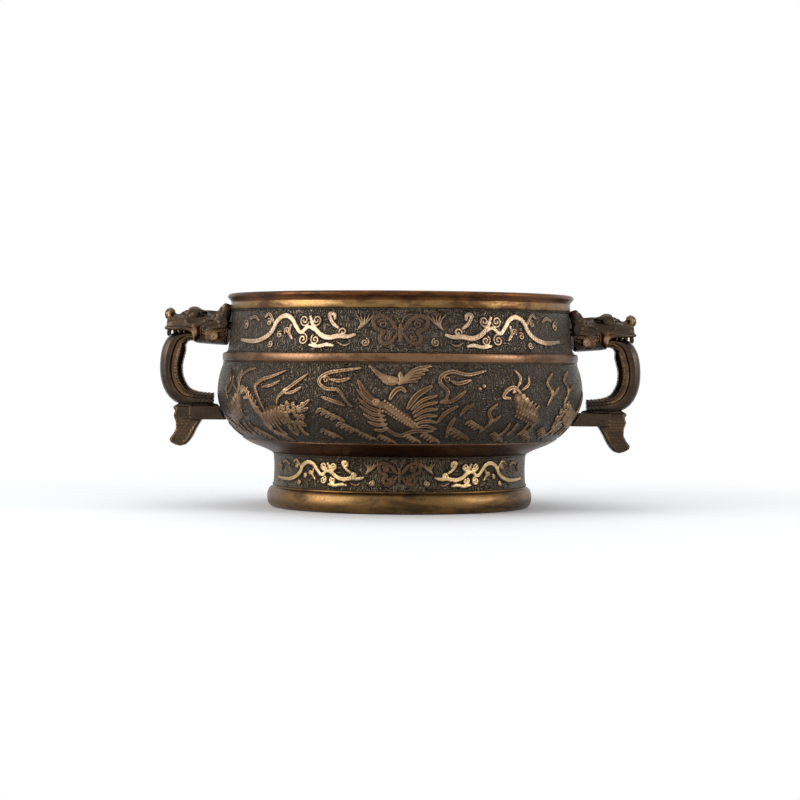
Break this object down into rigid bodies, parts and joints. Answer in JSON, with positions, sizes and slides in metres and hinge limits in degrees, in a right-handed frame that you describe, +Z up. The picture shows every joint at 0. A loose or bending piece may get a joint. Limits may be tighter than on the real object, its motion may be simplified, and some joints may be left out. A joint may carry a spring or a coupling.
{
  "type": "bronze incense burner",
  "caption": "Round bronze incense burner on a high foot ring, with a flared lip and a beast head handle with a loop and a hooked pendant on each side.",
  "frame": {"origin": "centre of the circle that the foot stands on", "axes": "+Z up, X through both handles, the front faces -Y"},
  "size_m": [0.251, 0.1916, 0.11],
  "materials": {
    "patinated_bronze": "dark brown patina, satin",
    "polished_bronze": "handled brown bronze, semi-polished",
    "gilt_bronze": "worn parcel gilding on brown bronze"
  },
  "bodies": {
    "root": {"bowl": "polished_bronze", "floor_plate": "polished_bronze", "foot_ring": "gilt_bronze", "left_head": "patinated_bronze", "left_loop": "patinated_bronze", "left_pendant": "patinated_bronze", "left_neck_rivet_front": "polished_bronze", "left_neck_rivet_back": "polished_bronze", "left_belly_rivet": "polished_bronze", "right_head": "patinated_bronze", "right_loop": "patinated_bronze", "right_pendant": "patinated_bronze", "right_neck_rivet_front": "polished_bronze", "right_neck_rivet_back": "polished_bronze", "right_belly_rivet": "polished_bronze"}
  },
  "joints": []
}
